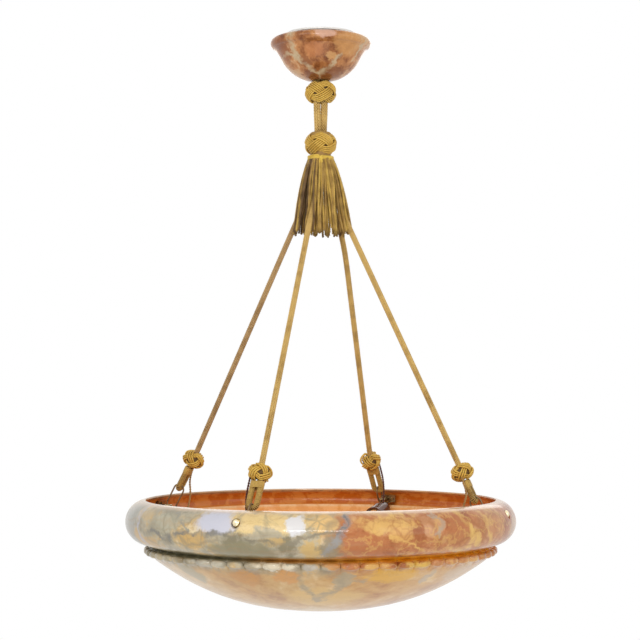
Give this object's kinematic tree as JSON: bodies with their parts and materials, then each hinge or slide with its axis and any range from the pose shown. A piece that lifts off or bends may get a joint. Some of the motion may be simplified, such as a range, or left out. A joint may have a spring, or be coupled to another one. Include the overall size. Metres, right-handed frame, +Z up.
{
  "type": "alabaster bowl pendant",
  "caption": "Veined alabaster bowl hung by braided ropes with knots under a fringed tassel and a small matching canopy; lampholders inside the beaded bowl.",
  "frame": {"origin": "centre of the ceiling plate's top face, on the ceiling", "axes": "+Z up; +X to the right and +Y away, seen from the side that the front rope faces"},
  "size_m": [0.464, 0.464, 0.689],
  "materials": {
    "bowl_alabaster": "polished, veined honey, cream, salmon and grey",
    "canopy_alabaster": "polished, veined brown and terracotta",
    "gold_rope": "braided, slight sheen",
    "brown_rope": "braided, aged",
    "gold_cord": "twisted cord, slight sheen",
    "gold_fringe": "twisted fringe cords",
    "flex_cover": "braided flex cover",
    "iron_wire": "darkened wire",
    "white_enamel": "white stoved enamel on steel",
    "zinc_steel": "zinc plated",
    "brass": "worn brass",
    "dark_brass": "darkened brass",
    "brown_plastic": "glossy dark brown moulding",
    "porcelain": "glazed",
    "turned_wood": "turned, plain"
  },
  "bodies": {
    "ceiling_mount": {"ceiling_plate": "white_enamel"},
    "hook": {"ceiling_hook": "zinc_steel"},
    "ring": {"suspension_ring": "zinc_steel"},
    "canopy": {"alabaster_canopy": "canopy_alabaster", "canopy_knot": "gold_cord"},
    "pendant": {"rope_thimble": "zinc_steel", "twin_rope": "gold_rope", "terminal_block": "porcelain", "terminal_screws": "brass", "feed_wires": "flex_cover", "tassel_mould": "turned_wood", "tassel_knot": "gold_cord", "tassel_tie": "gold_cord", "tassel_skirt": "gold_fringe", "alabaster_bowl": "bowl_alabaster", "eye_bolts": "brass", "bracket_nuts": "brass", "inner_nuts": "brass", "inner_washers": "brass", "rim_washers": "dark_brass", "dome_nuts": "brass", "rope_whippings": "gold_cord", "contact_blocks": "porcelain", "holder_nuts": "brass", "rope_left": "brown_rope", "rope_knot_left": "gold_cord", "rope_eye_left": "gold_cord", "lamp_bracket_left": "brass", "lampholder_cap_left": "brown_plastic", "lampholder_body_left": "brown_plastic", "lamp_socket_left": "brass", "lamp_flex_left": "flex_cover", "rope_front": "gold_rope", "rope_knot_front": "gold_cord", "rope_eye_front": "gold_cord", "lamp_bracket_front": "brass", "lampholder_cap_front": "brown_plastic", "lampholder_body_front": "brown_plastic", "lamp_socket_front": "brass", "lamp_flex_front": "flex_cover", "rope_back": "gold_rope", "rope_knot_back": "gold_cord", "rope_eye_back": "gold_cord", "lamp_bracket_back": "brass", "lampholder_cap_back": "brown_plastic", "lampholder_body_back": "brown_plastic", "lamp_socket_back": "brass", "lamp_flex_back": "flex_cover", "rope_right": "gold_rope", "rope_knot_right": "gold_cord", "rope_eye_right": "gold_cord", "lamp_bracket_right": "brass", "lampholder_cap_right": "brown_plastic", "lampholder_body_right": "brown_plastic", "lamp_socket_right": "brass", "lamp_flex_right": "flex_cover"},
    "link_left": {"rope_link_left": "iron_wire"},
    "link_front": {"rope_link_front": "iron_wire"},
    "link_back": {"rope_link_back": "iron_wire"},
    "link_right": {"rope_link_right": "iron_wire"}
  },
  "joints": [
    {"name": "hook_turn", "type": "hinge", "parent": "ceiling_mount", "child": "hook", "pos_m": [0, 0, -0.008], "axis": [0, 0, 1], "range_deg": [-180, 180]},
    {"name": "swing_fore_aft", "type": "hinge", "parent": "hook", "child": "ring", "pos_m": [0, 0, -0.02084], "axis": [1, 0, 0], "range_deg": [-4, 4]},
    {"name": "swing_sideways", "type": "hinge", "parent": "ring", "child": "pendant", "pos_m": [0, 0, -0.03979], "axis": [0, 1, 0], "range_deg": [-4, 4]},
    {"name": "canopy_slide", "type": "slide", "parent": "pendant", "child": "canopy", "axis": [0, 0, -1], "range_m": [0, 0.028]},
    {"name": "link_swing_left", "type": "hinge", "parent": "pendant", "child": "link_left", "pos_m": [-0.17432, 0.06173, -0.55108], "axis": [-0.3338, -0.9426, 0], "range_deg": [-4, 4]},
    {"name": "link_swing_front", "type": "hinge", "parent": "pendant", "child": "link_front", "pos_m": [-0.07533, -0.17325, -0.55916], "axis": [0.9171, -0.3987, 0], "range_deg": [-4, 4]},
    {"name": "link_swing_back", "type": "hinge", "parent": "pendant", "child": "link_back", "pos_m": [0.07516, 0.17202, -0.5599], "axis": [-0.9164, 0.4003, 0], "range_deg": [-4, 4]},
    {"name": "link_swing_right", "type": "hinge", "parent": "pendant", "child": "link_right", "pos_m": [0.17854, -0.06498, -0.5586], "axis": [0.342, 0.9397, 0], "range_deg": [-4, 4]}
  ]
}
